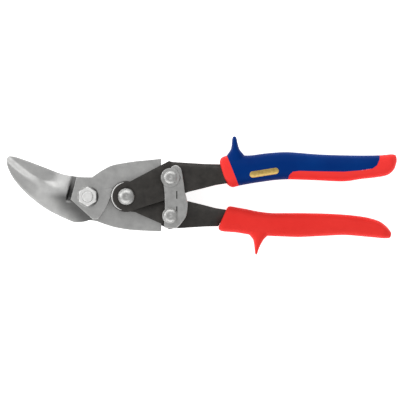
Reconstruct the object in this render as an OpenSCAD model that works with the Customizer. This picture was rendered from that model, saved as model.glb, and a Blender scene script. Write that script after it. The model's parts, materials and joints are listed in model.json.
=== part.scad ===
// Offset aviation snips with compound leverage, closed, lying flat.
// +X runs from the blade pivot to the handles, +Y to the upper handle, +Z along the pivots.
// The origin is on the blade pivot's axis, at the flat underside of its bolt head.
// Layer heights (z0, z1) are counted from the plane where the two jaws slide on each other.

/* [Linkage] */
// Height of the jaws' sliding plane above the underside
shear_z = 9.6; // [9.6:0.1:10]
// Distance from the blade pivot to the handle pivot, closed
handle_pivot_x = 23.6; // [23.4:0.1:23.8]
// Distance along the tool from the blade pivot to the link rivets
link_x = 50.7; // [50.5:0.1:50.9]
// Distance of each link rivet from the centre line
link_y = 11.7; // [11.5:0.1:11.9]

/* [Jaws] */
// Gap from the sliding plane to each jaw
face_gap = 0.1; // [0.05:0.05:0.15]
// Outer face of a jaw's body and tail
jaw_face = 4.4; // [4.2:0.1:4.4]
// Radius about the blade pivot where the blades start to step down
joggle_start = 14.5; // [14:0.5:14.5]
// Radius about the blade pivot where the blades are level again
joggle_end = 18.5; // [18:0.5:20]
// How far the blades lie below the sliding plane
joggle_drop = 3.2; // [2.5:0.1:3.4]
// Thickness of the front blade
front_blade_t = 3.4; // [3:0.1:3.6]
// Thickness of the rear blade
rear_blade_t = 2.9; // [2.4:0.1:3]
// Radius of the convex spine of the front blade
spine_r = 62.3; // [62:0.1:62.6]
// Radius of the eye at the end of each jaw's tail
eye_r = 7; // [6.5:0.1:7.2]

/* [Handles] */
// Inner face of the outer cheek
cheek_low = 4.6; // [4.6:0.1:4.7]
// Outer face of the outer cheek
cheek_high = 8; // [7.6:0.1:8]
// Gap from the sliding plane to an inner cheek
inner_low = 0.2; // [0.15:0.05:0.3]
// Outer face of an inner cheek
inner_high = 4.2; // [4:0.1:4.3]
// Radius of the cheek around the handle pivot
pivot_disc_r = 9.5; // [9:0.1:9.8]
// Width of the chamfer along the outer edge of a shank
chamfer_w = 2.4; // [1:0.1:3]
// Slope of that chamfer
chamfer_angle = 25; // [10:1:30]
// Where the fork's two cheeks join into the shank
fork_root_x = 59; // [58.5:0.5:61]
// Half thickness of the tang inside a grip
tang_half = 4; // [3:0.5:4]
// Where the tang ends
tang_end_x = 168; // [140:1:170]

/* [Grips] */
// Half thickness of a grip
grip_half = 9.6; // [9.6:0.1:9.6]
// Length of the plain badge
badge_l = 18; // [14:1:18]
// Height of the plain badge
badge_w = 4; // [3:0.5:4.5]
// Thickness of the plain badge
badge_t = 0.6; // [0.4:0.1:1]

/* [Fasteners] */
// Radius of the blade pivot bolt
blade_bolt_r = 3.5; // [3:0.1:3.8]
// Radius of the handle pivot bolt
handle_bolt_r = 3; // [2.6:0.1:3]
// Radius of the link rivets
rivet_r = 3; // [2.8:0.1:3]
// Radius of the link rivets' front heads
rivet_head_r = 4.2; // [3.8:0.1:4.4]
// Radius of the flange under the upper rivet's head
rivet_flange_r = 5.8; // [5:0.1:6]
// Radius of the link rivets' heads at the back
rear_head_r = 4.4; // [4:0.1:4.8]
// Radius of the handle pivot bolt's head
pivot_head_r = 5.25; // [4.8:0.05:5.6]
// Width across flats of the handle pivot nut
pivot_nut_flats = 10; // [9:0.5:11]
// Radial clearance of a running fit
running = 0.05; // [0.02:0.01:0.1]
// Radial clearance of the upper link's eye, where the linkage is open
link_clearance = 0.45; // [0.4:0.05:0.6]
// Width across flats of the blade pivot nut
nut_flats = 10.4; // [10:0.1:11.4]
// Radius of the washers of the blade pivot
washer_r = 6.5; // [6.2:0.1:7.4]
// Radius of the washer of the upper link
link_washer_r = 5.8; // [5:0.1:6]

/* [Latch] */
// Underside of the latch plate
latch_low = 8.8; // [8.8:0.1:8.9]
// Thickness of the latch plate
latch_t = 0.9; // [0.8:0.1:1]
// Thickness of the flange along the latch's right side
flange_t = 1.7; // [1.4:0.1:1.8]
// Radius of the upper rivet's neck, which the latch hooks
neck_r = 2.5; // [2.2:0.1:2.6]
// Angle that the latch turns to hook the neck
latch_angle = 8; // [6:0.5:8]

/* [Opening spring] */
// Wire radius
wire_r = 0.7; // [0.5:0.05:0.7]
// Mean radius of the coil
coil_r = 5; // [4.8:0.1:5]
// Half of the coil's height, between the wire's centres
coil_half = 3.2; // [2.8:0.1:3.3]
// Length of each straight leg
leg_l = 14; // [10:0.5:14]

/* [Hidden] */
$fn = 96;
upper_link = [link_x, link_y];
lower_link = [link_x, -link_y];
handle_pivot = [handle_pivot_x, 0];
// Underside of everything, and the heads above the latch
floor_z = -shear_z;
head_low = 10.9;
head_h = 1.7;
flange_h = 0.5;
// Outer faces of the blade pivot's washers, nut and bolt
washer_high = 5.6;
nut_high = 10.2;
bolt_high = 11;
// Head of the handle pivot bolt, on the outer cheek
pivot_head_h = 3.1;
// Rear head of the upper rivet, and its washer at the front
upper_rear_h = 1.4;
link_washer_h = 0.6;
// Radii of the lower bush, of its collar, which the latch turns on, and of the latch's boss round it
bush_r = 5;
collar_r = 3.7;
boss_r = 4.7;
// Room for the coil, from its mean radius, in the jaws and in the inner cheeks
jaw_room = 1.8;
cheek_room = 2;
// Gap under a part that slides past a flat face
slide_gap = 0.1;
// How far the handle pivot bolt ends inside its nut
bolt_recess = 0.4;
// Height of the latch's thumb tab above its flange
tab_h = 1.8;
// Slope of a shank's outer edge
shank_angle = 3.4;
// Spring: turns, sides of the wire and steps per turn
turns = 3.5;
wire_sides = 8;
turn_steps = 20;

// ---- Shared shapes ----

// A flat layer from z0 to z1, counted from the sliding plane
module layer(z0, z1) {
    translate([0, 0, shear_z + z0]) linear_extrude(z1 - z0) children();
}

// The same shape on the other face and the other side of the centre line
module turned_over() {
    translate([0, 0, 2 * shear_z]) rotate([180, 0, 0]) children();
}

// A solid of revolution about the blade pivot, its profile counted from the sliding plane
module about_blade_pivot(profile) {
    translate([0, 0, shear_z]) rotate_extrude() polygon(profile);
}

// A round disc or, with a hole, a ring
module ring_2d(centre, r, hole = 0) {
    difference() {
        translate(centre) circle(r);
        if (hole > 0) translate(centre) circle(hole);
    }
}

// A hexagon of a given width across flats, with a hole
module hex_2d(centre, flats, hole) {
    difference() {
        translate(centre) rotate(30) circle(flats / sqrt(3), $fn = 6);
        translate(centre) circle(hole);
    }
}

// A domed head of radius r and height h standing on z0
module domed_head(centre, r, h, z0) {
    dome = [for (a = [0:18:90]) [r * cos(a), h * (0.25 + 0.75 * sin(a))]];
    translate([centre[0], centre[1], shear_z + z0])
        rotate_extrude() polygon(concat([[0, 0], [r, 0]], dome));
}

// ---- Jaws ----

// Outline of the visible horn blade: a straight cutting edge over a round spine
module front_blade_2d() {
    intersection() {
        translate([6.5, 45.5]) circle(spine_r, $fn = 180);
        polygon([
            [-51, 14], [-50.5, 22.4], [-49.4, 24.9], [-46, 24.9], [-41.5, 23.6], [-16, 13.4],
            [-9, 12.4], [3, 12], [3, 0], [-5.5, -13.1], [-7.3, -17.5], [-20, -30], [-51, -20]
        ]);
    }
}

// Outline of the narrow blade behind it, with the cutting edge below
module rear_blade_2d() {
    polygon([
        [-49.4, 22.4], [-48.6, 23.6], [-45.5, 23.7], [-41.3, 22.6], [-16, 12.4], [-8, 11.4],
        [0, 11.4], [-0.4, -15.1], [-3, -15.6], [-6.8, -14.9], [-12, -8.4], [-14, 2], [-17, 7.6],
        [-27, 11], [-37, 15], [-45, 19]
    ]);
}

// Body of the front jaw: bounded by the V-shaped step on the left
module front_body_2d() {
    difference() {
        union() {
            polygon([
                [-6.9, 12], [-10.6, -1.8], [3, -14], [6.2, -13.8], [14.1, -0.3], [20, 6], [30, 6.2],
                [link_x, link_y - eye_r], [link_x, link_y], [44.9, 16], [44.9, 23.4], [29.5, 21.8],
                [14.8, 19.4], [7.4, 15.7], [2.5, 12]
            ]);
            ring_2d(upper_link, eye_r);
        }
        ring_2d(handle_pivot, coil_r + jaw_room);
    }
}

// Body of the rear jaw: a disc under the pivot, cut level with the neck, and the lower tail
module rear_body_2d() {
    difference() {
        union() {
            difference() {
                ring_2d([0, 0], joggle_start);
                translate([-20, 11.4]) square([40, 10]);
            }
            polygon([
                [0, -14.5], [4.9, -15.1], [9.8, -16.9], [14.8, -18.6], [27.1, -20.6], [44.9, -21.5],
                [44.9, -16], [link_x, -link_y], [link_x, eye_r - link_y], [30, -6.2], [20, -6],
                [14.5, 0], [0, 0]
            ]);
            ring_2d(lower_link, eye_r);
        }
        ring_2d(handle_pivot, coil_r + jaw_room);
    }
}

module front_jaw() {
    low = face_gap;
    top = front_blade_t - joggle_drop;
    color("silver") difference() {
        union() {
            layer(face_gap, jaw_face) front_body_2d();
            intersection() {
                layer(-joggle_drop, jaw_face) front_blade_2d();
                about_blade_pivot([
                    [0, low], [joggle_start, low], [joggle_end, low - joggle_drop],
                    [60, low - joggle_drop], [60, top - 0.4], [joggle_end + 1.5, top],
                    [joggle_start - 1.5, jaw_face - 1.5], [0, jaw_face - 1.5]
                ]);
            }
        }
        layer(-joggle_drop, jaw_face + 1) ring_2d([0, 0], blade_bolt_r + running);
        layer(-1, jaw_face + 1) ring_2d(upper_link, rivet_r + link_clearance);
    }
}

module rear_jaw() {
    high = -face_gap;
    bottom = -joggle_drop - rear_blade_t;
    color("silver") difference() {
        union() {
            layer(-jaw_face, -face_gap) rear_body_2d();
            intersection() {
                layer(bottom - 1, 0) rear_blade_2d();
                about_blade_pivot([
                    [0, -jaw_face], [joggle_start, -jaw_face], [joggle_end, bottom - 0.3],
                    [60, bottom], [60, high - joggle_drop], [joggle_end, high - joggle_drop],
                    [joggle_start, high], [0, high]
                ]);
            }
        }
        layer(-jaw_face - 1, 0) ring_2d([0, 0], blade_bolt_r);
        layer(-jaw_face - 1, 0) ring_2d(lower_link, rivet_r + running);
    }
}

// ---- Blade pivot ----

module blade_pivot_bolt() {
    color("gainsboro") union() {
        layer(floor_z, -washer_high) hex_2d([0, 0], nut_flats, 0);
        layer(-washer_high, bolt_high) ring_2d([0, 0], blade_bolt_r);
    }
}

module blade_pivot_nut() {
    color("gainsboro") layer(washer_high, nut_high) hex_2d([0, 0], nut_flats, blade_bolt_r);
}

module blade_pivot_washer() {
    color("dimgray") layer(jaw_face + running, washer_high) ring_2d([0, 0], washer_r, blade_bolt_r);
}

module blade_pivot_back_washer() {
    color("dimgray") layer(-washer_high, -jaw_face) ring_2d([0, 0], washer_r, blade_bolt_r);
}

// ---- Handles, drawn as the upper one ----

// Outer cheek and shank, from the disc round the pivot to the grip
module outer_cheek_2d(outer_y) {
    union() {
        ring_2d(handle_pivot, pivot_disc_r);
        polygon([
            [25.8, 9.2], [45.6, outer_y - 1.7], [49.8, outer_y + 0.5], [52.4, outer_y - 0.1],
            [72, outer_y - 1.3], [86, outer_y - 1.6], [86, 8.2], [78.7, 7.1], [68.9, 4.6],
            [61.5, 2.8], [56, 0.5], [28, -8.3]
        ]);
    }
}

// Inner cheek: cut back round the coil, with a seat for the spring's leg
module inner_cheek_2d(outer_y) {
    seat_y = coil_r + wire_r;
    difference() {
        polygon([
            [22.2, 6], [22.8, 8.9], [28.9, 9.5], [46.1, outer_y - 2.6], [49, outer_y],
            [fork_root_x + 1, outer_y - 0.5], [fork_root_x + 1, 2.2], [56, 0.5],
            [handle_pivot_x + leg_l + 1.5, 2.2], [handle_pivot_x + leg_l + 0.5, seat_y],
            [28, seat_y]
        ]);
        ring_2d(handle_pivot, coil_r + cheek_room);
    }
}

// The tang that the grip is moulded over
module tang() {
    tang_low = 12.6;
    tang_high = 19.6;
    layer(-tang_half, tang_half) polygon([
        [84, tang_low - 3.6], [84, tang_high - 0.6], [tang_end_x, tang_high],
        [tang_end_x, tang_low + 1], [100, tang_low - 1.6]
    ]);
}

// Handle steel up to where the grip starts, before it is bored
module handle_blank(outer_y) {
    difference() {
        union() {
            layer(cheek_low, cheek_high) outer_cheek_2d(outer_y);
            layer(-inner_high, -inner_low) inner_cheek_2d(outer_y);
            layer(-inner_high, cheek_high) intersection() {
                outer_cheek_2d(outer_y);
                translate([fork_root_x, 0]) square([40, 40]);
            }
        }
        translate([link_x, outer_y - chamfer_w, shear_z + cheek_high])
            rotate([-chamfer_angle, 0, -shank_angle]) cube([50, 10, 10]);
    }
}

module upper_handle() {
    color([0.2, 0.19, 0.18]) difference() {
        union() {
            difference() {
                handle_blank(21.3);
                layer(-20, 20) upper_grip_2d();
            }
            tang();
        }
        layer(0, 20) ring_2d(handle_pivot, handle_bolt_r + running);
        layer(-20, 20) ring_2d(upper_link, rivet_r);
    }
}

module lower_handle() {
    color([0.2, 0.19, 0.18]) difference() {
        union() {
            difference() {
                turned_over() handle_blank(19.7);
                layer(-20, 20) lower_grip_2d();
            }
            turned_over() tang();
        }
        layer(-20, 0) ring_2d(handle_pivot, handle_bolt_r);
        layer(-20, 20) ring_2d(lower_link, rivet_r);
    }
}

// ---- Handle pivot and opening spring ----

module handle_pivot_bolt() {
    color("gainsboro") union() {
        layer(floor_z + bolt_recess, cheek_high + slide_gap) ring_2d(handle_pivot, handle_bolt_r);
        domed_head(handle_pivot, pivot_head_r, pivot_head_h, cheek_high + slide_gap);
    }
}

module handle_pivot_nut() {
    color("gainsboro") layer(floor_z, -cheek_high) hex_2d(handle_pivot, pivot_nut_flats, handle_bolt_r);
}

module handle_pivot_bush() {
    color("darkgray") layer(-cheek_low, cheek_low - running)
        ring_2d(handle_pivot, handle_bolt_r + 1, handle_bolt_r);
}

// One ring of the wire's surface, round a centre at the coil's angle a
function wire_ring(c, a) = [
    for (k = [0:wire_sides - 1])
        let (t = 360 * k / wire_sides)
            c + wire_r * [cos(t) * cos(a), cos(t) * sin(a), sin(t)]
];

// Faces of a closed tube of n rings
function tube_faces(n) = concat(
    [[for (k = [0:wire_sides - 1]) k]],
    [for (i = [0:n - 2], k = [0:wire_sides - 1]) [
        i * wire_sides + k, (i + 1) * wire_sides + k,
        (i + 1) * wire_sides + (k + 1) % wire_sides, i * wire_sides + (k + 1) % wire_sides
    ]],
    [[for (k = [wire_sides - 1:-1:0]) (n - 1) * wire_sides + k]]
);

module opening_spring() {
    steps = turns * turn_steps;
    last = 90 + 360 * turns;
    coil = [for (i = [0:steps])
        let (a = 90 + 360 * i / turn_steps)
            wire_ring([coil_r * cos(a), coil_r * sin(a), coil_half * (2 * i / steps - 1)], a)];
    rings = concat(
        [wire_ring([leg_l, coil_r, -coil_half], 90)], coil,
        [wire_ring([leg_l, -coil_r, coil_half], last)]
    );
    color("dimgray") translate([handle_pivot_x, 0, shear_z])
        polyhedron([for (ring = rings) each ring], tube_faces(len(rings)));
}

// ---- Link rivets and latch ----

module upper_link_rivet() {
    color("gainsboro") union() {
        layer(-inner_high - upper_rear_h, -inner_high) ring_2d(upper_link, rear_head_r);
        layer(-inner_high, cheek_high + link_washer_h) ring_2d(upper_link, rivet_r);
        layer(cheek_high + link_washer_h, head_low) ring_2d(upper_link, neck_r);
        layer(head_low, head_low + flange_h) ring_2d(upper_link, rivet_flange_r);
        domed_head(upper_link, rivet_head_r, head_h, head_low);
    }
}

module upper_link_washer() {
    color("silver") layer(cheek_high, cheek_high + link_washer_h)
        ring_2d(upper_link, link_washer_r, rivet_r);
}

module lower_link_rivet() {
    color("gainsboro") union() {
        layer(floor_z, -cheek_high) ring_2d(lower_link, rear_head_r);
        layer(-cheek_high, head_low) ring_2d(lower_link, rivet_r);
        domed_head(lower_link, rivet_head_r, head_h, head_low);
    }
}

// Spacer under the latch, with a collar that the latch turns on
module lower_link_bush() {
    color("darkgray") union() {
        layer(inner_high, latch_low - slide_gap) ring_2d(lower_link, bush_r, rivet_r);
        layer(latch_low - slide_gap, latch_low + flange_t + 0.05) ring_2d(lower_link, collar_r, rivet_r);
    }
}

module latch_spring_washer() {
    color("dimgray") layer(latch_low + flange_t + 0.05, head_low)
        ring_2d(lower_link, rivet_head_r, rivet_r);
}

// Outline of the latch: straight on the left, bulging on the right
module latch_2d() {
    polygon([
        [46.9, -18.4], [47.8, -19.4], [54.6, -19.2], [57.6, -16], [60.3, -12], [61.2, -7.6],
        [61, -2.4], [59.7, 2.6], [59, 7.8], [58.2, 13], [57.2, 16.6], [55.4, 18.7], [53.6, 19.2],
        [50, 17.6], [46.4, 17.6]
    ]);
}

// Space for the neck: its way out to the upper left, and its seat when hooked
module latch_slot_2d() {
    slot_r = neck_r + 0.4;
    reach = upper_link - lower_link;
    hooked = lower_link + [reach[1] * sin(latch_angle), reach[1] * cos(latch_angle)];
    way_out = atan2(reach[1] / 2, link_x - handle_pivot_x);
    ring_2d(upper_link, slot_r);
    ring_2d(hooked, slot_r);
    translate(upper_link) rotate(-latch_angle / 2)
        translate([0, -slot_r]) square([norm(hooked - upper_link), 2 * slot_r]);
    translate(upper_link) rotate(way_out) translate([-20, 0]) square([20 + slot_r, 20]);
    translate(upper_link + [-20, -slot_r]) square([20, 20]);
}

module latch_plate() {
    top = latch_low + flange_t;
    color("silver") difference() {
        union() {
            layer(latch_low, latch_low + latch_t) latch_2d();
            layer(latch_low, top) intersection() {
                latch_2d();
                translate([55, -30]) square([10, 60]);
            }
            layer(latch_low, top) ring_2d(lower_link, boss_r);
            layer(latch_low, top + tab_h) polygon([
                [58.1, -15.3], [60.3, -12], [61.2, -7.6], [61, -2.4], [60.4, 0], [58.9, 0], [59.1, -8]
            ]);
        }
        layer(latch_low - 1, top + 1) latch_slot_2d();
        layer(latch_low - 1, top + 1) ring_2d(lower_link, collar_r + running);
    }
}

// ---- Grips ----

module upper_grip_2d() {
    polygon([
        [81.2, 19], [81.2, 23.7], [85.2, 25.4], [88, 29], [88.6, 36.2], [89.9, 37], [91.3, 36.2],
        [92.3, 29], [94.8, 25.6], [101, 25.5], [111, 26.8], [123, 27.4], [140, 26.1],
        [155, 25.5], [180, 25.5], [187.6, 26.2], [189.3, 25.9], [189.8, 21.8], [187.4, 15.2],
        [183, 12.7], [168, 10.8], [157, 9.3], [143, 10.1], [124, 10.5], [106, 8.9],
        [92.6, 6.7], [88.9, 5.7], [84.9, 8.3]
    ]);
}

// The soft strip along the underside and round the butt
module inlay_area_2d() {
    polygon([
        [122.9, 0], [122.9, 10.7], [125.5, 15.7], [157, 15.2], [173.7, 16.9], [177.5, 18],
        [180, 26], [180, 40], [200, 40], [200, 0]
    ]);
}

// The slanted strip at the front
module collar_area_2d() {
    polygon([[70, 30], [83.4, 30], [85.2, 25.4], [92.6, 6.7], [93.4, 0], [70, 0]]);
}

module lower_grip_2d() {
    polygon([
        [86.3, -5.7], [79.9, -18.6], [81.2, -21.3], [91, -22.1], [99, -23.7], [101.8, -26.1],
        [102.4, -34.6], [103.3, -35.7], [104.4, -34.8], [107.3, -27], [110.9, -24], [130.4, -24.9],
        [158, -23.7], [182, -25.7], [185.7, -25.7], [186.8, -23.2], [184.1, -18.3],
        [179.1, -14.5], [172.6, -13.1], [158, -11.1], [130.4, -10.1], [113.2, -10.1],
        [103.3, -8.9], [96.6, -7.4]
    ]);
}

module badge_2d() {
    translate([108.5, 14.6]) rotate(9) square([badge_l, badge_w], center = true);
}

module upper_grip_core() {
    color("navy") difference() {
        layer(-grip_half, grip_half) difference() {
            upper_grip_2d();
            inlay_area_2d();
            collar_area_2d();
        }
        tang();
        layer(grip_half - badge_t, grip_half + 1) badge_2d();
    }
}

module upper_grip_collar() {
    color("red") difference() {
        layer(-grip_half, grip_half) intersection() {
            upper_grip_2d();
            collar_area_2d();
        }
        tang();
    }
}

module upper_grip_inlay() {
    color("red") difference() {
        layer(-grip_half, grip_half) intersection() {
            upper_grip_2d();
            inlay_area_2d();
        }
        tang();
    }
}

module grip_badge() {
    color("gold") layer(grip_half - badge_t, grip_half) badge_2d();
}

module lower_grip() {
    color("red") difference() {
        layer(-grip_half, grip_half) lower_grip_2d();
        turned_over() tang();
    }
}

front_jaw();
rear_jaw();
blade_pivot_bolt();
blade_pivot_nut();
blade_pivot_washer();
blade_pivot_back_washer();
upper_handle();
lower_handle();
handle_pivot_bolt();
handle_pivot_nut();
handle_pivot_bush();
opening_spring();
upper_link_rivet();
upper_link_washer();
lower_link_rivet();
lower_link_bush();
latch_plate();
latch_spring_washer();
upper_grip_core();
upper_grip_collar();
upper_grip_inlay();
grip_badge();
lower_grip();
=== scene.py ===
"""Offset aviation snips, closed and lying flat on a pale floor, seen straight along their pivots.

Outlines are in millimetres from the blade pivot; heights are counted from the plane where the jaws slide.
"""
import json
import math

import bmesh
import bpy
import numpy as np
from mathutils import Matrix, Vector
from mathutils.bvhtree import BVHTree


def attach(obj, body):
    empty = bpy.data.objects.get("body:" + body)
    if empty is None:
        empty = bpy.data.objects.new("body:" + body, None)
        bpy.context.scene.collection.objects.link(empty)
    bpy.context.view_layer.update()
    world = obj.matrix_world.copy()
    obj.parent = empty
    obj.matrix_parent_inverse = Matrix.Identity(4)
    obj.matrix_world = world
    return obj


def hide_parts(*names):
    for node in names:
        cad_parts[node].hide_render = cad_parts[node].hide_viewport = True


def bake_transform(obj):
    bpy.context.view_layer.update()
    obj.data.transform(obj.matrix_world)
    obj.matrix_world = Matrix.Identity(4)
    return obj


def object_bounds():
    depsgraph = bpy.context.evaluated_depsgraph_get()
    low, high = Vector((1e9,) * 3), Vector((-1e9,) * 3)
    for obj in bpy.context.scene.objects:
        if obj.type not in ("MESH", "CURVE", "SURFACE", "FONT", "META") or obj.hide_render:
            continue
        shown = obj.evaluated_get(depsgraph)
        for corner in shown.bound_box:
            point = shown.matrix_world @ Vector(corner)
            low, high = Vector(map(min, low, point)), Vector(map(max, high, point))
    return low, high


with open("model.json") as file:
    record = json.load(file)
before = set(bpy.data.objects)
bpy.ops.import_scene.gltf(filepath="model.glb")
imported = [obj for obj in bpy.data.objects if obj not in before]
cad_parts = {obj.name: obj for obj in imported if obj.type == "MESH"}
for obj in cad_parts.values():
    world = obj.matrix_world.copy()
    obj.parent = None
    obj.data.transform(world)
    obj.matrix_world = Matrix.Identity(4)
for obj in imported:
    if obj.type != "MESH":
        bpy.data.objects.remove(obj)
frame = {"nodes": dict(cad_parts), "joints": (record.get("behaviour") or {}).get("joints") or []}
cad_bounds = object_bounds()

MM = 0.001
JOINTS = {joint["name"]: joint for joint in frame["joints"]}
HANDLE_PIVOT = Vector(JOINTS["handle_pivot"]["pos_m"][:2]) / MM
LOWER_LINK = Vector(JOINTS["lower_link"]["pos_m"][:2]) / MM
UPPER_LINK = Vector((LOWER_LINK.x, -LOWER_LINK.y))
SHEAR_Z = JOINTS["blade_pivot"]["pos_m"][2] / MM

# The jaws' bodies lie between FACE_GAP and JAW_FACE from the sliding plane, one on each side of it
JAW_FACE, FACE_GAP, PLATE_EDGE = 4.4, 0.1, 0.35
# The blades step down by JOGGLE_DROP between these two radii about the blade pivot. Past them, the rear
# blade's back lies BLADE_BACK below the plane
JOGGLE_START, JOGGLE_END, JOGGLE_DROP, BLADE_BACK = 14.5, 18.5, 3.2, 6.2
EYE_R = 7.0
# Where the rear jaw's disc is cut level with the neck, in degrees about the blade pivot
NECK_Y = 11.4
NECK_ANGLE = math.degrees(math.asin(NECK_Y / JOGGLE_START))
# Radii of each jaw's bore at the blade pivot, and of the bore in its eye
FRONT_BORE, FRONT_EYE, REAR_BORE, REAR_EYE = 3.55, 3.45, 3.5, 3.05
# The horn's relief: its height at the body, and how far its parts lie below that
HORN_TOP, HORN_FALL, RIDGE_DROP, SPINE_DROP, EDGE_DROP, GROOVE_DROP = 2.9, 2.7, 1.85, 0.4, 0.15, 2.0

COIL_R, COIL_HALF, COIL_TURNS, SPRING_LEG, WIRE_R = 5.0, 3.2, 3.5, 14.0, 0.7
# Free space round the coil, up to the jaws
COIL_ROOM = 1.8

GRIP_HALF = 9.6
# The gap between two colours of a grip, and the lines where the red strips meet the blue moulding
GRIP_SEAM = 0.03
INLAY_LINE = [(122.2, 0), (122.7, 10), (123.4, 13), (125.6, 15.2), (129.5, 15.7), (143, 15.4),
              (157, 15.2), (168, 16.1), (174.6, 17.2), (177.2, 19.2), (178.6, 22.5), (180, 30)]
COLLAR_LINE = [(83.0, 31), (85.2, 25.4), (92.6, 6.7), (95.2, 0)]

LATCH_LOW, LATCH_TOP, LATCH_T = 8.8, 10.5, 0.9
LATCH_ANGLE = math.radians(8)
LATCH_BORE, HUB_R, TAB_HEIGHT = 3.75, 4.7, 1.8
SLOT_R = 2.9
# The seams between the latch's plate and its flange, their floors darkened with painted shade: their sides
# in X, and their stretches in Y
SEAM_LEFT, SEAM_RIGHT = 54.25, 54.95
SEAMS = ((9, 16), (-1.4, 3.4), (-9.5, -6))
# How far a shape that is added to another lies inside it, so that no faces coincide
INSET = 0.05

# WASHER_FACE is the washers' outer face, above the plane in front and below it at the back
NUT_FLATS, NUT_TOP, WASHER_R, WASHER_FACE = 10.4, 10.2, 6.5, 5.6
SHANK_R, BOLT_END = 3.45, 11
RIVET_HEAD_R, RIVET_FLANGE_R, HEAD_LOW, HEAD_TOP, HEAD_DISH = 4.2, 5.8, 10.9, 12.6, 0.5
# The bright rim on the upper handle, a painted highlight on its lit side only: an arc in degrees about the
# handle pivot, its radius and height
RIM_START, RIM_END, RIM_R, RIM_Z = 98, 252, 8.75, 7.9


# ---- Points ----

def smooth_step(low, high, value):
    t = np.clip((np.asarray(value, float) - low) / (high - low), 0, 1)
    return t * t * (3 - 2 * t)


def through(points, steps=8):
    """A smooth open line through the points, which leaves out the last one."""
    if len(points) == 2:
        return [Vector(points[0])]
    p = [Vector(q) for q in points]
    p = [2 * p[0] - p[1], *p, 2 * p[-1] - p[-2]]
    line = []
    for a, b, c, d in zip(p, p[1:], p[2:], p[3:]):
        for k in range(steps):
            t = k / steps
            line.append(0.5 * (2 * b + (c - a) * t + (2 * a - 5 * b + 4 * c - d) * t**2
                               + (3 * b - a - 3 * c + d) * t**3))
    return line


def outline(*runs):
    """A closed outline from runs of points. Each run is smooth, and the runs meet at corners."""
    return [point for run in runs for point in through(run)]


def arc(centre, radius, start, end, steps=16):
    """Points on an arc, its angles in degrees."""
    angles = np.radians(np.linspace(start, end, steps + 1))
    return [(centre[0] + radius * math.cos(a), centre[1] + radius * math.sin(a)) for a in angles]


def hole(centre, radius):
    """A round hole, its points running against those of an outline."""
    return arc(centre, radius, 360, 7.5, 47)


def rotated(point, centre, angle):
    """The point turned about a centre."""
    d = point - centre
    return centre + Vector((d.x * math.cos(angle) - d.y * math.sin(angle),
                            d.x * math.sin(angle) + d.y * math.cos(angle)))


def rail(points, count):
    """The same number of evenly spaced points along a smooth line through the given ones."""
    line = np.array(through(points, 12) + [Vector(points[-1])])
    along = np.concatenate([[0], np.cumsum(np.linalg.norm(np.diff(line, axis=0), axis=1))])
    at = np.linspace(0, along[-1], count)
    return np.stack([np.interp(at, along, line[:, k]) for k in range(line.shape[1])], axis=1)


# ---- Objects ----

def to_world(points):
    """Millimetres from the blade pivot and the sliding plane, as metres in the frame."""
    points = np.asarray(points, float)
    return (points + [0, 0, SHEAR_Z]) * MM


def new_object(name, mesh):
    obj = bpy.data.objects.new(name, mesh)
    bpy.context.scene.collection.objects.link(obj)
    return obj


def mesh_object(name, points, faces):
    mesh = bpy.data.meshes.new(name)
    mesh.from_pydata([tuple(p) for p in to_world(points)], [], faces)
    clean(mesh)
    return new_object(name, mesh)


def clean(mesh, merge=1e-6):
    """Joins doubled points and turns every face outwards."""
    bm = bmesh.new()
    bm.from_mesh(mesh)
    bmesh.ops.remove_doubles(bm, verts=bm.verts, dist=merge)
    bmesh.ops.dissolve_degenerate(bm, edges=bm.edges, dist=merge)
    bmesh.ops.recalc_face_normals(bm, faces=bm.faces)
    bm.to_mesh(mesh)
    bm.free()


def baked(obj):
    """Puts the result of the object's modifiers into its mesh."""
    evaluated = obj.evaluated_get(bpy.context.evaluated_depsgraph_get())
    mesh = bpy.data.meshes.new_from_object(evaluated)
    obj.modifiers.clear()
    obj.data = mesh
    return obj


def plate(name, loops, low, high, edge, inset=0.0):
    """A flat plate with rounded edges. The first loop is its outline, and the others are holes."""
    curve = bpy.data.curves.new(name, "CURVE")
    curve.dimensions = "2D"
    curve.fill_mode = "BOTH"
    for loop in loops:
        spline = curve.splines.new("POLY")
        spline.points.add(len(loop) - 1)
        for point, at in zip(spline.points, loop):
            point.co = (at[0] * MM, at[1] * MM, 0, 1)
        spline.use_cyclic_u = True
    curve.extrude = ((high - low) / 2 - edge) * MM
    curve.bevel_depth = edge * MM
    curve.bevel_resolution = 2
    curve.offset = -(edge + inset) * MM
    drawn = new_object(name + "_curve", curve)
    mesh = bpy.data.meshes.new_from_object(drawn.evaluated_get(bpy.context.evaluated_depsgraph_get()))
    bpy.data.objects.remove(drawn)
    mesh.transform(Matrix.Translation((0, 0, (SHEAR_Z + (low + high) / 2) * MM)))
    mesh.materials.clear()
    clean(mesh)
    return new_object(name, mesh)


def loft(name, rings):
    """A closed skin over rings with the same number of points."""
    count = len(rings[0])
    faces = [list(range(count))]
    for i in range(len(rings) - 1):
        for k in range(count):
            a, b = i * count + k, i * count + (k + 1) % count
            faces.append((a, a + count, b + count, b))
    faces.append([(len(rings) - 1) * count + k for k in reversed(range(count))])
    return mesh_object(name, [p for ring in rings for p in ring], faces)


def prism(name, points, low=-20, high=20):
    """An upright prism over an outline."""
    rings = [[(x, y, z) for x, y in points] for z in (low, high)]
    return loft(name, rings)


def turned(name, centre, profile, steps=48):
    """A solid of revolution from (radius, height) pairs, which start and end on the axis."""
    rings = []
    for radius, height in profile:
        ring = arc(centre, max(radius, 1e-4), 0, 360 * (1 - 1 / steps), steps - 1)
        rings.append([(x, y, height) for x, y in ring])
    return loft(name, rings)


def slab(name, points, low, high, edge):
    """A flat slab over one outline. Its edges are rounded, and it stays closed at tight corners."""
    piece = prism(name, points, low, high)
    rounding = piece.modifiers.new("rounded_edges", "BEVEL")
    rounding.width = edge * MM
    rounding.segments = 2
    rounding.limit_method = "ANGLE"
    rounding.angle_limit = math.radians(60)
    rounding.use_clamp_overlap = False
    baked(piece)
    clean(piece.data)
    return piece


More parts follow.
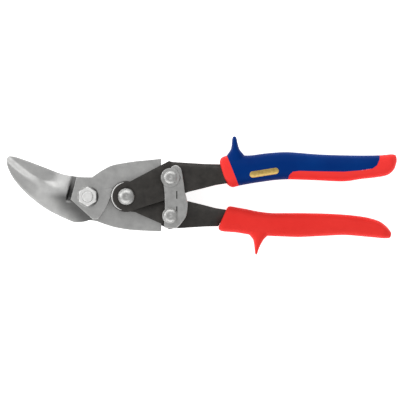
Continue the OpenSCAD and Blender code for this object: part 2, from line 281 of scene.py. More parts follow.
def combine(obj, other, operation="UNION"):
    """Adds the other solid to obj, or cuts it away, and removes it."""
    cut = obj.modifiers.new("combine", "BOOLEAN")
    cut.object = other
    cut.operation = operation
    cut.solver = "EXACT"
    baked(obj)
    bpy.data.objects.remove(other)
    clean(obj.data)
    return obj


def drill(obj, centre, radius, low, high):
    """Cuts a round bore between two heights."""
    bore = [(0, low), (radius, low), (radius, high), (0, high)]
    combine(obj, turned("bore", centre, bore), "DIFFERENCE")


def shade(obj, angle=35, weighted=True):
    """Smooth shading with sharp corners above an angle."""
    obj.data.shade_smooth()
    obj.data.set_sharp_from_angle(angle=math.radians(angle))
    if weighted:
        obj.modifiers.new("even_shading", "WEIGHTED_NORMAL").keep_sharp = True


def set_painted_shade(piece, share):
    """Stores a painted shade for each point in the mesh attribute named clean, from a function of its place:
    1 leaves the colour as it is, and 0 paints it black.
    """
    points = [vertex.co / MM - Vector((0, 0, SHEAR_Z)) for vertex in piece.data.vertices]
    attribute = piece.data.attributes.new("clean", "FLOAT", "POINT")
    attribute.data.foreach_set("value", [share(*point) for point in points])


def finish_piece(obj, body, slot, material, *nodes):
    """Gives a new piece its material, its body, and the CAD nodes that it stands for."""
    obj.data.materials.clear()
    obj.data.materials.append(material)
    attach(obj, body)
    if nodes:
        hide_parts(*nodes)
    return obj


# ---- Materials ----

class Shader:
    """A principled material with helpers for its procedural nodes."""

    def __init__(self, name, colour, metallic, roughness):
        self.material = bpy.data.materials.new(name)
        self.material.use_nodes = True
        self.nodes = self.material.node_tree.nodes
        self.links = self.material.node_tree.links
        self.surface = self.nodes["Principled BSDF"]
        self.surface.inputs["Base Color"].default_value = (*colour, 1)
        self.surface.inputs["Metallic"].default_value = metallic
        self.surface.inputs["Roughness"].default_value = roughness
        self.place = self.nodes.new("ShaderNodeTexCoord").outputs["Object"]

    def noise(self, scale, detail=4.0, stretch=(1, 1, 1), roughness=0.55):
        """Noise with features about 1/scale metres apart, longer where stretch is below 1."""
        mapping = self.nodes.new("ShaderNodeMapping")
        mapping.inputs["Scale"].default_value = stretch
        texture = self.nodes.new("ShaderNodeTexNoise")
        texture.inputs["Scale"].default_value = scale
        texture.inputs["Detail"].default_value = detail
        texture.inputs["Roughness"].default_value = roughness
        self.links.new(self.place, mapping.inputs["Vector"])
        self.links.new(mapping.outputs["Vector"], texture.inputs["Vector"])
        return texture.outputs["Fac"]

    def ramp(self, value, low, high, start=0.3, end=0.7):
        """Turns a value into a colour between low and high."""
        ramp = self.nodes.new("ShaderNodeValToRGB")
        ramp.color_ramp.elements[0].position = start
        ramp.color_ramp.elements[1].position = end
        ramp.color_ramp.elements[0].color = (*low, 1)
        ramp.color_ramp.elements[1].color = (*high, 1)
        self.links.new(value, ramp.inputs["Fac"])
        return ramp.outputs["Color"]

    def colour(self, value, low, high, start=0.3, end=0.7):
        self.links.new(self.ramp(value, low, high, start, end), self.surface.inputs["Base Color"])

    def darkened(self, value, low, high, attribute, start=0.3, end=0.7):
        """Colour as above, multiplied by an attribute of the mesh that holds painted shade, which is 1 where
        none is painted.
        """
        mix = self.nodes.new("ShaderNodeMix")
        mix.data_type = "RGBA"
        mix.blend_type = "MULTIPLY"
        mix.inputs["Factor"].default_value = 1
        reader = self.nodes.new("ShaderNodeAttribute")
        reader.attribute_name = attribute
        self.links.new(self.ramp(value, low, high, start, end), mix.inputs["A"])
        self.links.new(reader.outputs["Fac"], mix.inputs["B"])
        self.links.new(mix.outputs["Result"], self.surface.inputs["Base Color"])

    def rough(self, value, low, high):
        spread = self.nodes.new("ShaderNodeMapRange")
        spread.inputs["From Min"].default_value = 0.3
        spread.inputs["From Max"].default_value = 0.7
        spread.inputs["To Min"].default_value = low
        spread.inputs["To Max"].default_value = high
        self.links.new(value, spread.inputs["Value"])
        self.links.new(spread.outputs["Result"], self.surface.inputs["Roughness"])

    def bump(self, value, depth_mm, strength=1.0):
        bump = self.nodes.new("ShaderNodeBump")
        bump.inputs["Strength"].default_value = strength
        bump.inputs["Distance"].default_value = depth_mm * MM
        self.links.new(value, bump.inputs["Height"])
        self.links.new(bump.outputs["Normal"], self.surface.inputs["Normal"])


def jaw_steel():
    """Sand-blasted forged steel: mottled, with a fine matt grain."""
    s = Shader("jaw_steel", (0.5, 0.5, 0.49), 1.0, 0.42)
    # The mottled colour is multiplied by the mesh attribute named clean, which holds painted shade in the
    # front jaw's recesses and a painted shadow on the pivot washer.
    s.darkened(s.noise(160, 5), (0.47, 0.47, 0.465), (0.58, 0.58, 0.57), "clean")
    s.rough(s.noise(900, 3), 0.36, 0.5)
    s.bump(s.noise(4200, 3), 0.02, 0.5)
    return s.material


def black_steel():
    """Blackened steel, a little brown and uneven."""
    s = Shader("black_steel", (0.03, 0.028, 0.025), 0.35, 0.48)
    s.colour(s.noise(220, 5), (0.022, 0.020, 0.018), (0.042, 0.038, 0.034))
    s.rough(s.noise(700, 4), 0.4, 0.55)
    s.bump(s.noise(3000, 4), 0.02, 0.5)
    return s.material


def bright_steel():
    """Zinc-plated fasteners with faint turning marks."""
    s = Shader("bright_steel", (0.52, 0.52, 0.51), 1.0, 0.4)
    s.colour(s.noise(500, 4), (0.46, 0.46, 0.45), (0.58, 0.58, 0.57))
    s.rough(s.noise(1500, 3), 0.34, 0.46)
    s.bump(s.noise(2500, 3), 0.008, 0.5)
    return s.material


def satin_steel():
    """Nut, and the bright rim that paints a highlight on the upper cheek: bright steel with a coarse satin
    face.
    """
    s = Shader("satin_steel", (0.85, 0.85, 0.84), 1.0, 0.55)
    s.colour(s.noise(400, 3), (0.78, 0.78, 0.77), (0.9, 0.9, 0.89))
    s.rough(s.noise(1500, 3), 0.5, 0.6)
    s.bump(s.noise(2500, 3), 0.01, 0.5)
    return s.material


def pressed_steel(name, shaded_seams):
    """Pressed and tumbled sheet steel; with the flag set, its colour takes painted shade from the mesh
    attribute named clean, which darkens the floors of its seams.
    """
    s = Shader(name, (0.6, 0.6, 0.59), 1.0, 0.33)
    if shaded_seams:
        s.darkened(s.noise(260, 5), (0.48, 0.48, 0.47), (0.66, 0.66, 0.65), "clean")
    else:
        s.colour(s.noise(260, 5), (0.48, 0.48, 0.47), (0.66, 0.66, 0.65))
    s.rough(s.noise(1200, 4), 0.28, 0.4)
    s.bump(s.noise(2600, 4), 0.015, 0.5)
    return s.material


def spring_steel():
    """Oiled spring steel, drawn along the wire."""
    s = Shader("spring_steel", (0.2, 0.19, 0.18), 1.0, 0.35)
    s.colour(s.noise(900, 4), (0.14, 0.135, 0.13), (0.26, 0.25, 0.24))
    return s.material


def moulded(name, low, high, roughness):
    """Moulded grip plastic with a fine spark-eroded texture."""
    s = Shader(name, high, 0.0, roughness)
    s.surface.inputs["Specular IOR Level"].default_value = 0.04
    s.colour(s.noise(45, 3), low, high, 0.25, 0.75)
    s.rough(s.noise(1800, 2), roughness - 0.05, roughness + 0.07)
    s.bump(s.noise(2600, 3), 0.03, 0.45)
    return s.material


def gold_foil():
    s = Shader("gold_foil", (0.62, 0.42, 0.12), 1.0, 0.4)
    s.colour(s.noise(700, 4), (0.5, 0.34, 0.1), (0.7, 0.5, 0.17))
    s.bump(s.noise(3000, 3), 0.02, 0.5)
    return s.material


def floor_paint():
    """White acrylic that is lit from below, so that it shows hardly any shadow."""
    s = Shader("floor_paint", (0.9, 0.9, 0.9), 0.0, 0.7)
    s.surface.inputs["Emission Color"].default_value = (1, 1, 1, 1)
    s.surface.inputs["Emission Strength"].default_value = 0.85
    s.colour(s.noise(3, 3), (0.9, 0.9, 0.9), (0.93, 0.93, 0.93))
    return s.material


JAW, BLACK, SATIN, BRIGHT = jaw_steel(), black_steel(), satin_steel(), bright_steel()
# Only the latch's steel takes painted shade in its seams.
LATCH, PLAIN = pressed_steel("latch_steel", True), pressed_steel("plain_steel", False)
SPRING, GOLD = spring_steel(), gold_foil()
BLUE = moulded("blue_plastic", (0.0003, 0.024, 0.165), (0.0006, 0.037, 0.21), 0.5)
RED = moulded("red_plastic", (0.94, 0.042, 0.038), (0.98, 0.056, 0.05), 0.5)
DEEP_RED = moulded("deep_red_plastic", (0.8, 0.032, 0.026), (0.9, 0.046, 0.038), 0.5)


# ---- Jaws ----

def joggle(r):
    """How far the sliding surface lies below its plane at a radius about the blade pivot."""
    return -JOGGLE_DROP * smooth_step(JOGGLE_START, JOGGLE_END, r)


def blade(name, edge_rail, spine_rail, top, bottom, across=40):
    """A blade between two rails, with its upper and lower surface given by functions of the place
    and of the share v of the way from the first rail to the second."""
    count = len(edge_rail)
    shares = np.linspace(0, 1, across + 1)
    upper, lower = [], []
    for a, b in zip(edge_rail, spine_rail):
        for v in shares:
            x, y = a + (b - a) * v
            upper.append((x, y, top(x, y, v)))
            lower.append((x, y, bottom(x, y, v)))
    row, base = across + 1, count * (across + 1)
    faces = []
    for i in range(count - 1):
        for k in range(across):
            a = i * row + k
            faces.append((a, a + 1, a + row + 1, a + row))
            faces.append((base + a, base + a + row, base + a + row + 1, base + a + 1))
        for k in (0, across):
            a = i * row + k
            faces.append((a, a + row, base + a + row, base + a))
    for i in (0, count - 1):
        for k in range(across):
            a = i * row + k
            faces.append((a, a + 1, base + a + 1, base + a))
    return mesh_object(name, upper + lower, faces)


# The V-shaped step where the front jaw's body stands above its blade
STEP_TOP, STEP_APEX, STEP_END = Vector((-6.9, 12.0)), Vector((-10.6, -1.8)), Vector((3.0, -14.0))


def beside(a, b, x, y):
    """Distance to the left of the line from a to b."""
    d = (b - a).normalized()
    return d.x * (y - a.y) - d.y * (x - a.x)


def below_ridge(x, y):
    """Distance below the curved ridge that runs along the horn from its tip."""
    along = x + 31.1
    return 8.9 - 0.63 * along + 0.0084 * along**2 - y


def front_top(x, y, v):
    """Upper surface of the horn: it falls away from the body, with a ridge along its middle."""
    r = math.hypot(x, y)
    low_side = float(smooth_step(-7, 4, below_ridge(x, y)))
    fall = float(smooth_step(12.5, 25.5 + 20 * low_side, r))
    start = float(smooth_step(14, 34, r))
    ridge = float(smooth_step(-3.4, 3.2, below_ridge(x, y)))
    round_spine = max(0.0, v - 0.9) / 0.1
    height = HORN_TOP - HORN_FALL * fall - start * (RIDGE_DROP * ridge + SPINE_DROP * round_spine**2)
    groove = 1 - float(smooth_step(1.9, 3.4, -beside(STEP_TOP, STEP_APEX, x, y)))
    shallower = 1 - 0.6 * float(smooth_step(2, 12, y))
    groove *= float(smooth_step(STEP_APEX.y - 2, STEP_APEX.y + 1.5, y)) * shallower
    edge = 1 - float(smooth_step(0.0, 0.05, v))
    return height - GROOVE_DROP * groove - EDGE_DROP * edge * start


def front_bottom(x, y, v):
    """Lower surface of the horn. Its lobe under the pivot stays level, to pass over the rear jaw."""
    stepped = 1.0 if y > 0 else float(smooth_step(3, 9, -x))
    return FACE_GAP + stepped * float(joggle(math.hypot(x, y)))


def no_painted_shade(x, y, z):
    """For a piece with no painted shade."""
    return 1.0


def recess_painted_shade(x, y, z):
    """Painted shade in the front jaw's groove and below its step, where the step's shadow falls."""
    across = -beside(STEP_TOP, STEP_APEX, x, y)
    below = -beside(STEP_APEX, STEP_END, x, y)
    groove = float(1 - smooth_step(2, 4, across)) * float(smooth_step(-4, -1.5, y))
    groove *= 1 - 0.45 * float(smooth_step(3, 12, y))
    shelf = 0.72 * float(1 - smooth_step(1.5, 12, below)) * float(1 - smooth_step(-1, 3.5, y))
    return 1 - 0.88 * max(groove, shelf) * float(z < JAW_FACE - 0.6) * float(-30 < x < 3)


def front_jaw():
    body = outline(
        [STEP_TOP, STEP_APEX], [STEP_APEX, STEP_END], [STEP_END, (6.2, -13.8)],
        [(6.2, -13.8), (10.8, -7.2), (14.1, -0.3)], [(14.1, -0.3), (17.2, 2.3)],
        arc(HANDLE_PIVOT, COIL_R + COIL_ROOM, 160, 80), [(24.8, 6.7), (32, 6.3), (UPPER_LINK.x, 4.7)],
        arc(UPPER_LINK, EYE_R, -90, 145), [(44.9, 15.8), (44.9, 23.4)],
        [(44.9, 23.4), (37, 22.5), (29.5, 21.8), (22.1, 20.7), (14.8, 19.2), (8.6, 16.1), (2.5, 12)],
        [(2.5, 12), STEP_TOP])
    loops = [body, hole((0, 0), FRONT_BORE), hole(UPPER_LINK, FRONT_EYE)]
    piece = plate("front_jaw_forging", loops, FACE_GAP, JAW_FACE, PLATE_EDGE)
    edge_rail = rail([(3, 11.9), (-4, 12.1), (-9.8, 12.7), (-17.2, 14.3), (-27.1, 18.1), (-34.4, 20.9),
                      (-41.8, 23.6), (-46.4, 24.9), (-48.9, 24.8), (-50.2, 23.4)], 110)
    spine_rail = rail([(4.6, -13.5), (1.5, -14.3), (-1.8, -15.1), (-4.9, -15.7), (-7.3, -15.8),
                       (-10, -15.2), (-17.2, -12.1), (-24.6, -8.3), (-32, -3.2), (-38.5, 2.3),
                       (-44.2, 8.6), (-47.8, 14), (-49.8, 18.6), (-50.4, 21.9)], 110)
    horn = blade("front_blade", edge_rail, spine_rail, front_top, front_bottom)
    drill(horn, (0, 0), FRONT_BORE, -5, 8)
    combine(piece, horn)
    # Painted shade in the groove beside the step and on the shelf below it.
    set_painted_shade(piece, recess_painted_shade)
    shade(piece, 40)
    finish_piece(piece, "front_jaw", "jaw_steel", JAW, "front_jaw")


def rear_top(x, y, v):
    """Upper surface of the rear blade."""
    return -FACE_GAP - INSET + float(joggle(math.hypot(x, y)))


def rear_bottom(x, y, v):
    """Lower surface of the rear blade, rounded towards both rails."""
    fall = float(smooth_step(JOGGLE_START - 1, JOGGLE_END + 2, math.hypot(x, y)))
    round_edge = abs(2 * v - 1) ** 4
    return INSET - JAW_FACE + (JAW_FACE - BLADE_BACK) * fall + 0.9 * round_edge * fall


def rear_jaw():
    body = outline(
        [(0, -14.5), (4.9, -15.2), (9.8, -16.9), (14.8, -18.5), (19.7, -19.6), (27.1, -20.6),
         (36.9, -21.2), (44.9, -21.5)],
        [(44.9, -21.5), (44.9, -15.8)], arc(LOWER_LINK, EYE_R, -145, 90),
        [(LOWER_LINK.x, -4.7), (32, -6.3), (24.8, -6.7)],
        arc(HANDLE_PIVOT, COIL_R + COIL_ROOM, 280, 200), [(17.2, -2.3), (JOGGLE_START, 0)],
        arc((0, 0), JOGGLE_START, 0, NECK_ANGLE), arc((0, 0), JOGGLE_START, 180 - NECK_ANGLE, 270, 24))
    piece = slab("rear_jaw_forging", body, -JAW_FACE, -FACE_GAP, PLATE_EDGE)
    drill(piece, (0, 0), REAR_BORE, -JAW_FACE - 1, 1)
    drill(piece, LOWER_LINK, REAR_EYE, -JAW_FACE - 1, 1)
    spine_rail = rail([(0, 11.3), (-8, 11.3), (-16, 12.5), (-27, 17), (-41, 22.4), (-46, 23.7),
                       (-48.8, 23.6), (-49.6, 22.6)], 60)
    edge_rail = rail([(-0.4, -15.1), (-3, -15.6), (-6.6, -15.1), (-12, -8.4), (-14, 2), (-17.5, 7.6),
                      (-27, 11), (-37, 15), (-45, 19.2), (-49.4, 22)], 60)
    bar = blade("rear_blade", edge_rail, spine_rail, rear_top, rear_bottom, 20)
    drill(bar, (0, 0), REAR_BORE, -8, 8)
    # Known fault: this union leaves the bar out, so the finished jaw has no blade
    combine(piece, bar)
    set_painted_shade(piece, no_painted_shade)
    shade(piece, 40)
    finish_piece(piece, "rear_jaw", "jaw_steel", JAW, "rear_jaw")


# ---- Grips ----

def grip_ring(top, bottom, half, points=40, power=2.7):
    """A rounded section between a point on the upper rail and one on the lower rail."""
    centre, reach = (top + bottom) / 2, (top - bottom) / 2
    ring = []
    for k in range(points):
        a = 2 * math.pi * k / points
        across = math.copysign(abs(math.cos(a)) ** (2 / power), math.cos(a))
        up = math.copysign(abs(math.sin(a)) ** (2 / power), math.sin(a))
        ring.append((*(centre + reach * across), half * up))
    return ring


def grip_body(name, top_rail, bottom_rail, count=90):
    """A moulded grip between two rails, its ends rounded over."""
    tops, bottoms = rail(top_rail, count), rail(bottom_rail, count)
    rings = []
    for k, (top, bottom) in enumerate(zip(tops, bottoms)):
        share = k / (count - 1)
        front = min(1.0, share / 0.03)
        butt = min(1.0, (1 - share) / 0.06)
        half = GRIP_HALF * (0.86 + 0.14 * math.sqrt(front)) * (0.55 + 0.45 * math.sin(butt * math.pi / 2))
        rings.append(grip_ring(top, bottom, half - 0.15))
    return loft(name, rings)


def guard(name, stations):
    """A thumb guard or finger spur from (x, y, half width, half depth) stations, root first."""
    rings = []
    for x, y, wide, deep in stations:
        ring = []
        for k in range(24):
            a = 2 * math.pi * k / 24
            u = math.copysign(abs(math.cos(a)) ** 0.75, math.cos(a))
            w = math.copysign(abs(math.sin(a)) ** 0.75, math.sin(a))
            ring.append((x + wide * u, y, deep * w))
        rings.append(ring)
    return loft(name, rings)


def melt(obj, voxel_mm, smoothing):
    """Remeshes overlapping solids as one skin and softens where they meet."""
    remesh = obj.modifiers.new("one_skin", "REMESH")
    remesh.mode = "VOXEL"
    remesh.voxel_size = voxel_mm * MM
    soften = obj.modifiers.new("soften", "SMOOTH")
    soften.factor = 0.5
    soften.iterations = smoothing
    return baked(obj)


def joined(obj, other):
    """Puts the other mesh into obj."""
    bm = bmesh.new()
    bm.from_mesh(obj.data)
    bm.from_mesh(other.data)
    bm.to_mesh(obj.data)
    bm.free()
    bpy.data.objects.remove(other)
    return obj


def clone(obj, name):
    return new_object(name, obj.data.copy())


def upper_grip():
    body = grip_body(
        "upper_grip",
        [(80.9, 20.2), (81.3, 23), (83.4, 24.7), (88, 25.5), (95, 25.3), (101, 25.5), (111, 26.8),
         (123, 27.4), (140, 26.1), (155, 25.5), (170, 25.3), (180, 25.5), (186.5, 26.1), (189.2, 25.6)],
        [(84.2, 9.6), (85.4, 7.6), (88.6, 5.7), (92.6, 6.6), (99, 7.8), (106, 8.9), (115, 10.1),
         (124, 10.5), (140, 10.0), (157, 9.3), (168, 10.8), (177, 11.8), (184, 13.2), (188, 16.6),
         (189.7, 21.4)])
    thumb = guard("thumb_guard", [(91, 22, 6.4, 8.4), (90.6, 26, 4.9, 8.3), (90.4, 29, 2.6, 8.0),
                                  (90.2, 32, 1.9, 7.6), (90, 35, 1.5, 6.8), (89.95, 36.6, 1.1, 5.6),
                                  (89.9, 37.05, 0.5, 4.4)])
    skin = melt(joined(body, thumb), 0.45, 4)
    inlay_area = [*INLAY_LINE, (200, 30), (200, 0)]
    collar_area = [*COLLAR_LINE, (70, 0), (70, 31)]
    inlay, collar = clone(skin, "upper_grip_soft_strip"), clone(skin, "upper_grip_front_strip")
    combine(inlay, prism("area", inlay_area), "INTERSECT")
    combine(collar, prism("area", collar_area), "INTERSECT")
    combine(skin, prism("area", [(x - GRIP_SEAM, y + GRIP_SEAM) for x, y in inlay_area]), "DIFFERENCE")
    combine(skin, prism("area", [(x + GRIP_SEAM, y) for x, y in collar_area]), "DIFFERENCE")
    for piece, material, slot, node in (
            (skin, BLUE, "blue_plastic", "upper_grip_core"),
            (collar, RED, "red_plastic", "upper_grip_collar"),
            (inlay, RED, "red_plastic", "upper_grip_inlay")):
        shade(piece, 50, weighted=False)
        finish_piece(piece, "upper_handle", slot, material, node)
    skin.name = "upper_grip_moulding"
    return skin


def lower_grip():
    body = grip_body(
        "lower_grip_moulding",
        [(85.2, -7.4), (86.6, -5.9), (91, -6.5), (96.6, -7.5), (103.3, -8.9), (108, -9.6),
         (113.2, -10.1), (121, -10.1), (130.4, -10.1), (145, -10.4), (158, -11.1), (168, -12.2),
         (173.5, -13.3), (179.4, -15.3), (184, -18.9), (186.4, -22.2)],
        [(80.2, -18.5), (80.3, -20.2), (82.6, -21.4), (91, -22.1), (99, -23.4), (105, -24),
         (111, -24.2), (120, -24.6), (130.4, -24.9), (145, -24.2), (158, -23.7), (172, -24.8),
         (182, -25.7), (185.6, -25.5)])
    spur = guard("finger_spur", [(105, -19, 8.6, 8.4), (105, -23, 6.2, 8.3), (104.7, -26.4, 3.2, 8.0),
                                 (104.1, -29.5, 2.0, 7.4), (103.6, -32.6, 1.2, 6.4),
                                 (103.35, -34.9, 0.75, 5.2), (103.3, -35.8, 0.35, 4.2)])
    skin = melt(joined(body, spur), 0.45, 4)
    shade(skin, 50, weighted=False)
    finish_piece(skin, "lower_handle", "red_plastic", DEEP_RED, "lower_grip")


def badge(grip):
    """A plain raised bar that lies on the grip's crown."""
    length, width, height = 18.0, 3.9, 0.35
    centre, tilt = Vector((108.1, 14.6)), math.radians(9)
    end = width / 2
    shape = (arc((length / 2 - end, 0), end, -90, 90, 10)
             + arc((end - length / 2, 0), end, 90, 270, 10))

    def turn(p):
        return (centre.x + p[0] * math.cos(tilt) - p[1] * math.sin(tilt),
                centre.y + p[0] * math.sin(tilt) + p[1] * math.cos(tilt))

    tree = BVHTree.FromObject(grip, bpy.context.evaluated_depsgraph_get())
    rings = []
    for scale, lift in ((1, -0.4), (1, height - 0.12), (0.94, height), (0.6, height), (0.2, height)):
        ring = []
        for p in shape:
            x, y = turn((p[0] * (1 - (1 - scale) * 0.4), p[1] * scale))
            hit = tree.ray_cast(Vector((x, y, 40)) * MM, Vector((0, 0, -1)))[0]
            ring.append((x, y, hit.z / MM - SHEAR_Z + lift))
        rings.append(ring)
    piece = loft("plain_badge", rings)
    shade(piece, 50)
    finish_piece(piece, "upper_handle", "gold_foil", GOLD, "grip_badge")


# ---- Fasteners ----

def dome(name, centre, radius, low, high, dish=0.0):
    """A domed head with a small chamfer at its rim, and a dished middle if dish is above 0."""
    profile = [(0, low), (radius - 0.3, low), (radius, low + 0.3)]
    for a in np.radians(np.linspace(12, 90, 12)):
        r = radius * math.cos(a)
        sunk = dish * math.exp(-((r / 1.3) ** 2))
        profile.append((r, low + 0.3 + (high - low - 0.3) * math.sin(a) - sunk))
    return turned(name, centre, profile)


def hex_nut(name, centre, flats, low, high, bore=0.0):
    """A hexagon whose corners are rounded off by a cone at both faces."""
    corner = flats / math.sqrt(3)
    nut = prism(name, arc(centre, corner, 30, 330, 5), low, high)
    chamfer = 0.75
    keep = [(0, low), (flats / 2, low), (corner + 0.05, low + chamfer), (corner + 0.05, high - chamfer),
            (flats / 2, high), (0, high)]
    combine(nut, turned("chamfers", centre, keep, 96), "INTERSECT")
    if bore:
        drill(nut, centre, bore, low - 1, high + 1)
    return nut


def thread_end(name, centre, radius, low, high):
    """The end of a bolt, with its thread as rings and a chamfer."""
    pitch, depth = 1.0, 0.32
    profile = [(0, low), (radius - depth, low)]
    z = low
    while z + pitch < high - 0.5:
        profile += [(radius, z + pitch / 2), (radius - depth, z + pitch)]
        z += pitch
    profile += [(radius - 0.15, high - 0.5), (radius - 0.7, high), (0, high)]
    return turned(name, centre, profile)


def shaded_side(x, y, z):
    """Painted shadow: the washer keeps its colour on its left side and is darkened on its right, which the
    nut shades.
    """
    return 1 - 0.8 * float(smooth_step(-0.1, 0.9, x / (math.hypot(x, y) + 1e-6)))


def pivot_nut():
    nut = hex_nut("pivot_nut", (0, 0), NUT_FLATS, WASHER_FACE, NUT_TOP, REAR_BORE)
    shade(nut, 30)
    finish_piece(nut, "rear_jaw", "fastener_steel", SATIN, "blade_pivot_nut")


def pivot_washer():
    """The washer under the nut, with a painted shadow on its right side."""
    low, high = JAW_FACE + 0.05, WASHER_FACE
    profile = [(0, low), (WASHER_R, low), (WASHER_R, high - 0.25), (WASHER_R - 0.25, high), (5, high),
               (4, high), (0, high)]
    washer = turned("pivot_washer", (0, 0), profile, 72)
    drill(washer, (0, 0), REAR_BORE, low - 1, high + 1)
    # Paints the nut's shadow onto the washer's right side.
    set_painted_shade(washer, shaded_side)
    shade(washer, 35)
    finish_piece(washer, "rear_jaw", "spring_steel", JAW, "blade_pivot_washer")


def pivot_bolt():
    bolt = hex_nut("pivot_bolt", (0, 0), NUT_FLATS, -SHEAR_Z, -WASHER_FACE)
    combine(bolt, turned("shank", (0, 0), [(0, -6), (SHANK_R, -6), (SHANK_R, 5.4), (0, 5.4)]))
    combine(bolt, thread_end("thread", (0, 0), SHANK_R, 5.3, BOLT_END))
    shade(bolt, 30)
    finish_piece(bolt, "rear_jaw", "fastener_steel", SATIN, "blade_pivot_bolt")


def handle_bolt():
    shank = [(0, -9.2), (2.5, -9.2), (2.95, -8.8), (2.95, 8.15), (0, 8.15)]
    bolt = turned("handle_bolt", HANDLE_PIVOT, shank)
    combine(bolt, dome("head", HANDLE_PIVOT, 5.25, 8.1, 11.2, HEAD_DISH))
    shade(bolt, 30)
    finish_piece(bolt, "lower_handle", "fastener_steel", BRIGHT, "handle_pivot_bolt")


def link_rivet(name, centre, low, neck, flanged):
    """A rivet with a domed head. A flanged one has a thin rim under its head."""
    shank = [(0, low), (3.9, low), (4.4, low + 0.5), (4.4, low + 1.4), (3, low + 1.4), (3, 8.6), (neck, 8.6),
             (neck, 11), (0, 11)]
    rivet = turned(name, centre, shank)
    combine(rivet, dome(name + "_head", centre, RIVET_HEAD_R, HEAD_LOW, HEAD_TOP, HEAD_DISH))
    if flanged:
        rim = [(0, HEAD_LOW), (RIVET_FLANGE_R, HEAD_LOW), (RIVET_FLANGE_R, HEAD_LOW + 0.25),
               (RIVET_FLANGE_R - 0.3, HEAD_LOW + 0.5), (0, HEAD_LOW + 0.5)]
        combine(rivet, turned("flange", centre, rim))
    shade(rivet, 30)
    return rivet


def fasteners():
    pivot_nut()
    pivot_washer()
    pivot_bolt()
    handle_bolt()
    upper = link_rivet("upper_rivet", UPPER_LINK, -WASHER_FACE, 2.5, True)
    finish_piece(upper, "upper_handle", "fastener_steel", BRIGHT, "upper_link_rivet")
    lower = link_rivet("lower_rivet", LOWER_LINK, -SHEAR_Z, 3.0, False)
    finish_piece(lower, "lower_handle", "fastener_steel", BRIGHT, "lower_link_rivet")


# ---- Latch ----

def hook_slot():
    """The open slot that takes the upper rivet's neck when the latch turns onto it."""
    hooked = rotated(UPPER_LINK, LOWER_LINK, -LATCH_ANGLE)
    way = math.atan2(UPPER_LINK.y, UPPER_LINK.x - HANDLE_PIVOT.x)
    side = Vector((math.cos(way), math.sin(way)))
    up = Vector((-side.y, side.x))
    lip = UPPER_LINK + SLOT_R * side
    return [UPPER_LINK + Vector((-10, -SLOT_R)), UPPER_LINK + Vector((0, -SLOT_R)),
            hooked + Vector((0, -SLOT_R)), *map(Vector, arc(hooked, SLOT_R, -80, 100, 10)),
            lip + 2.4 * up, lip + 11 * up, UPPER_LINK + Vector((-14, 12))]


def seam_painted_shade(x, y, z):
    """Painted shade on the floor of the latch's seams."""
    in_seam = SEAM_LEFT - 0.05 < x < SEAM_RIGHT + 0.05 and LATCH_LOW + 0.2 < z < LATCH_LOW + 0.4
    return 0.1 if in_seam else 1.0


def latch():
    """A pressed plate with a raised flange and a thumb tab along its right side."""
    right = [(54.6, -19.2), (57.6, -16), (60.3, -12), (61.2, -7.6), (61, -2.4), (59.7, 2.6), (59, 7.8),
             (58.2, 13)]
    corner = [(58.2, 13), (57.4, 16.6), (55.4, 18.7), (53.6, 19.2)]
    main = outline([(46.6, 17.6), (46.4, 9), (47.1, 2), (47.3, -8), (46.9, -17.6)],
                   [(46.9, -17.6), (47.3, -18.9), (48.6, -19.4), (51, -19.4), (54.6, -19.2)],
                   right, corner, [(53.6, 19.2), (50, 17.6)], [(50, 17.6), (46.6, 17.6)])
    piece = plate("latch_pressing", [main], LATCH_LOW, LATCH_LOW + LATCH_T, 0.3)
    flange_area = [(54.6, -22), (54.9, -14), (55, -8), (55, 0), (55.1, 10), (55.3, 22), (65, 22), (65, -22)]
    flange = plate("flange", [main], LATCH_LOW + INSET, LATCH_TOP, 0.5, INSET)
    combine(piece, combine(flange, prism("area", flange_area), "INTERSECT"))
    tab_area = [(58, -15.2), (59.1, -7), (58.9, 0), (65, 0), (65, -15.2)]
    tab = plate("tab", [main], LATCH_LOW + 2 * INSET, LATCH_TOP + TAB_HEIGHT, 0.2, 2 * INSET)
    combine(piece, combine(tab, prism("area", tab_area), "INTERSECT"))
    for low, high in SEAMS:
        seam = [(SEAM_LEFT, low), (SEAM_RIGHT, low), (SEAM_RIGHT, high), (SEAM_LEFT, high)]
        combine(piece, prism("seam", seam, LATCH_LOW + 0.3, LATCH_TOP + 1), "DIFFERENCE")
    hub = [(0, LATCH_LOW + INSET), (HUB_R, LATCH_LOW + INSET), (HUB_R, LATCH_TOP - 0.3),
           (HUB_R - 0.3, LATCH_TOP), (0, LATCH_TOP)]
    combine(piece, turned("hub", LOWER_LINK, hub))
    combine(piece, prism("slot", hook_slot(), LATCH_LOW - 1, LATCH_TOP + 1), "DIFFERENCE")
    drill(piece, LOWER_LINK, LATCH_BORE, LATCH_LOW - 1, LATCH_TOP + 1)
    # Paints shade onto the floors of the seams.
    set_painted_shade(piece, seam_painted_shade)
    shade(piece, 35)
    finish_piece(piece, "latch", "latch_steel", LATCH, "latch_plate")


# ---- Spring ----

def opening_spring():
    """A torsion coil on the handle pivot. It winds up between the two handles."""
    path = [(SPRING_LEG * (1 - k / 8), COIL_R, -COIL_HALF, 90) for k in range(8)]
    steps = 112
    for i in range(steps + 1):
        a = 90 + 360 * COIL_TURNS * i / steps
        path.append((COIL_R * math.cos(math.radians(a)), COIL_R * math.sin(math.radians(a)),
                     COIL_HALF * (2 * i / steps - 1), a))
    path += [(SPRING_LEG * k / 8, -COIL_R, COIL_HALF, 270) for k in range(1, 9)]
    rings = []
    for x, y, z, a in path:
        out = Vector((math.cos(math.radians(a)), math.sin(math.radians(a)), 0))
        centre = Vector((HANDLE_PIVOT.x + x, y, z))
        rings.append([centre + WIRE_R * (out * math.cos(t) + Vector((0, 0, math.sin(t))))
                      for t in np.radians(np.arange(0, 360, 30))])
    piece = loft("opening_spring_wire", rings)
    shade(piece, 60, weighted=False)
    piece.data.materials.append(SPRING)
    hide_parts("opening_spring")
    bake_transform(piece)


# ---- CAD nodes that stay ----

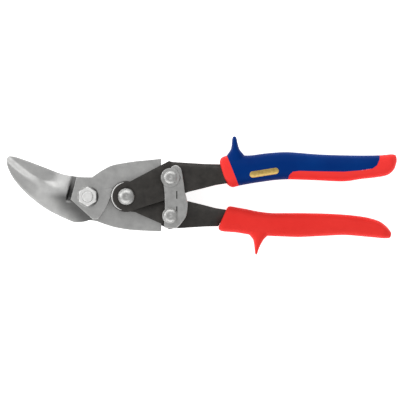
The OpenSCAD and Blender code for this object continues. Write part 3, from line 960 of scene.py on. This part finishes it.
def dress(node, material, width_mm):
    """Rounds a CAD node's edges and gives it a material."""
    obj = frame["nodes"][node]
    obj.data.materials.clear()
    obj.data.materials.append(material)
    obj.modifiers.new("joined_points", "WELD").merge_threshold = 0.002 * MM
    rounding = obj.modifiers.new("rounded_edges", "BEVEL")
    rounding.width = width_mm * MM
    rounding.segments = 2
    rounding.limit_method = "ANGLE"
    rounding.angle_limit = math.radians(40)
    rounding.harden_normals = True
    obj.data.shade_smooth()


def dressed_nodes():
    for node, material, width in (
            ("upper_handle", BLACK, 0.5), ("lower_handle", BLACK, 0.5),
            ("blade_pivot_back_washer", SPRING, 0.2),
            ("handle_pivot_nut", BRIGHT, 0.2), ("handle_pivot_bush", SPRING, 0.15),
            ("upper_link_washer", PLAIN, 0.12), ("lower_link_bush", PLAIN, 0.2),
            ("latch_spring_washer", SPRING, 0.08)):
        dress(node, material, width)


def disc_rim():
    """A thin raised crescent of bright steel on the upper cheek round the handle pivot, laid only on its lit
    left side as a painted highlight of the cheek's edge.
    """
    rings = []
    for a in np.radians(np.linspace(RIM_START, RIM_END, 61)):
        out = Vector((math.cos(a), math.sin(a), 0))
        middle = Vector((HANDLE_PIVOT.x, HANDLE_PIVOT.y, RIM_Z)) + RIM_R * out
        thin = math.sin(math.pi * (math.degrees(a) - RIM_START) / (RIM_END - RIM_START)) ** 0.4
        half = max(0.02, 0.42 * thin)
        rings.append([middle + half * math.cos(t) * out + Vector((0, 0, 0.2 * math.sin(t)))
                      for t in np.radians(np.arange(0, 360, 30))])
    piece = loft("disc_rim_painted_highlight", rings)
    shade(piece, 60, weighted=False)
    finish_piece(piece, "upper_handle", "fastener_steel", SATIN)


# ---- Stage ----

def stage():
    bpy.ops.mesh.primitive_plane_add(size=6, location=(0.07, 0, -0.0004))
    floor = bpy.context.object
    floor.name = "floor"
    floor.data.materials.append(floor_paint())
    world = bpy.data.worlds.new("studio")
    bpy.context.scene.world = world
    world.use_nodes = True
    world.node_tree.nodes["Background"].inputs["Color"].default_value = (1, 1, 1, 1)
    world.node_tree.nodes["Background"].inputs["Strength"].default_value = 0.45
    middle = Vector((0.07, 0, 0.01))
    for name, place, size, power in (
            ("back_softbox", (0.05, 0.62, 0.62), (0.9, 0.5), 2.6),
            ("front_softbox", (-0.1, -0.62, 0.62), (1.2, 0.5), 3.05),
            ("left_softbox", (-0.75, 0.25, 0.6), (0.5, 0.6), 2.3)):
        data = bpy.data.lights.new(name, "AREA")
        data.shape = "RECTANGLE"
        data.size, data.size_y = size
        data.energy = power
        light = new_object(name, data)
        light.location = place
        light.rotation_euler = (middle - Vector(place)).to_track_quat("-Z", "Y").to_euler()


def camera():
    """Looks straight down, with the whole tool across the picture."""
    low, high = (Vector(corner) for corner in cad_bounds)
    data = bpy.data.cameras.new("camera")
    data.lens, data.sensor_width = 270, 36
    width = 0.246
    distance = width * data.lens / data.sensor_width
    eye = new_object("camera", data)
    eye.location = ((low.x + high.x) / 2 - 0.0008, -0.0021, SHEAR_Z * MM + distance)
    bpy.context.scene.camera = eye
    bpy.context.scene.view_settings.view_transform = "Standard"


camera()
stage()
front_jaw()
rear_jaw()
blue_grip = upper_grip()
badge(blue_grip)
lower_grip()
fasteners()
latch()
opening_spring()
dressed_nodes()
disc_rim()
